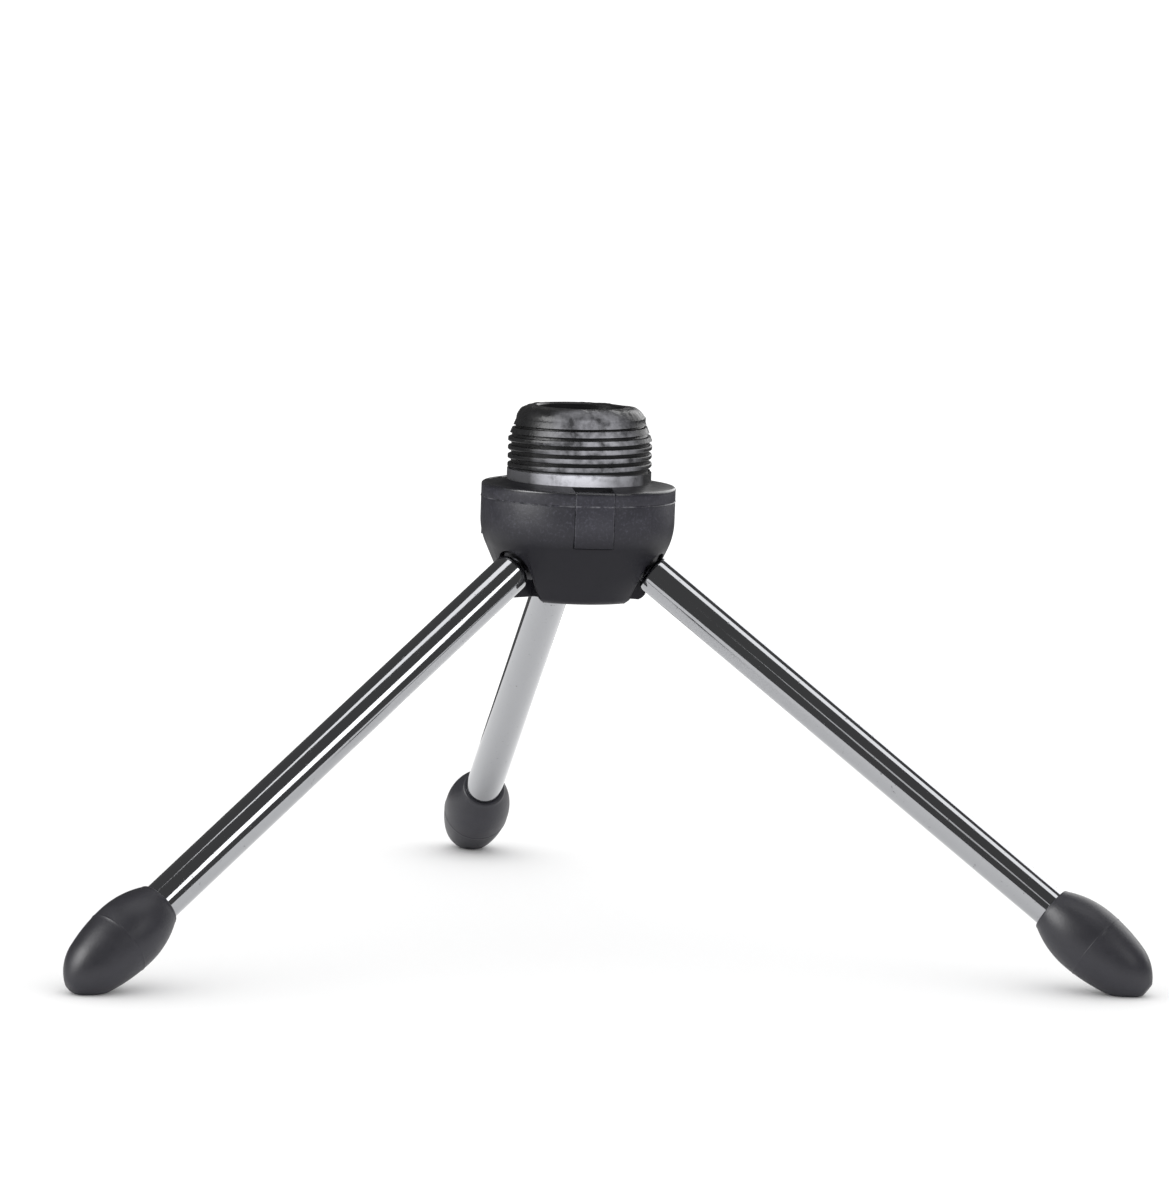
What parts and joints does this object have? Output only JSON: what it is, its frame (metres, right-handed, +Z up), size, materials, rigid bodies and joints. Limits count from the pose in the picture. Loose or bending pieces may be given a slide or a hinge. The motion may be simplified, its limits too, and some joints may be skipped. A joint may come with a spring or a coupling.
{
  "type": "desktop microphone stand",
  "caption": "Small folding desktop tripod with a round plastic hub, chromed tubular legs, rubber feet and a standard male microphone thread on top.",
  "frame": {"origin": "on the desk, under the hub's axis, with the legs open", "axes": "+Z up along the hub and the thread, +Y towards the rear leg, +X to the right"},
  "size_m": [0.1158, 0.1013, 0.059],
  "materials": {
    "hub_plastic": "fine moulded grain",
    "stud_plastic": "semi-gloss moulded",
    "chrome": "mirror",
    "steel": "zinc plated",
    "rubber": "matt moulded"
  },
  "bodies": {
    "hub": {"hub_body": "hub_plastic", "hub_cap": "hub_plastic", "pin_keeper_front": "hub_plastic", "pin_keeper_right": "hub_plastic", "pin_keeper_left": "hub_plastic", "threaded_stud": "stud_plastic", "clamp_screw": "steel", "clamp_washer": "steel", "clamp_nut": "steel", "hinge_pin_left": "steel", "hinge_pin_right": "steel", "hinge_pin_rear": "steel"},
    "leg_left": {"leg_tube_left": "chrome", "leg_eye_left": "steel", "rubber_foot_left": "rubber"},
    "leg_right": {"leg_tube_right": "chrome", "leg_eye_right": "steel", "rubber_foot_right": "rubber"},
    "leg_rear": {"leg_tube_rear": "chrome", "leg_eye_rear": "steel", "rubber_foot_rear": "rubber"}
  },
  "joints": [
    {"name": "leg_left_fold", "type": "hinge", "parent": "hub", "child": "leg_left", "pos_m": [-0.00563, -0.00325, 0.043], "axis": [0.5, -0.866, 0], "range_deg": [0, 54.7]},
    {"name": "leg_right_fold", "type": "hinge", "parent": "hub", "child": "leg_right", "pos_m": [0.00563, -0.00325, 0.043], "axis": [0.5, 0.866, 0], "range_deg": [0, 54.7]},
    {"name": "leg_rear_fold", "type": "hinge", "parent": "hub", "child": "leg_rear", "pos_m": [0, 0.0065, 0.043], "axis": [-1, 0, 0], "range_deg": [0, 54.7]}
  ]
}
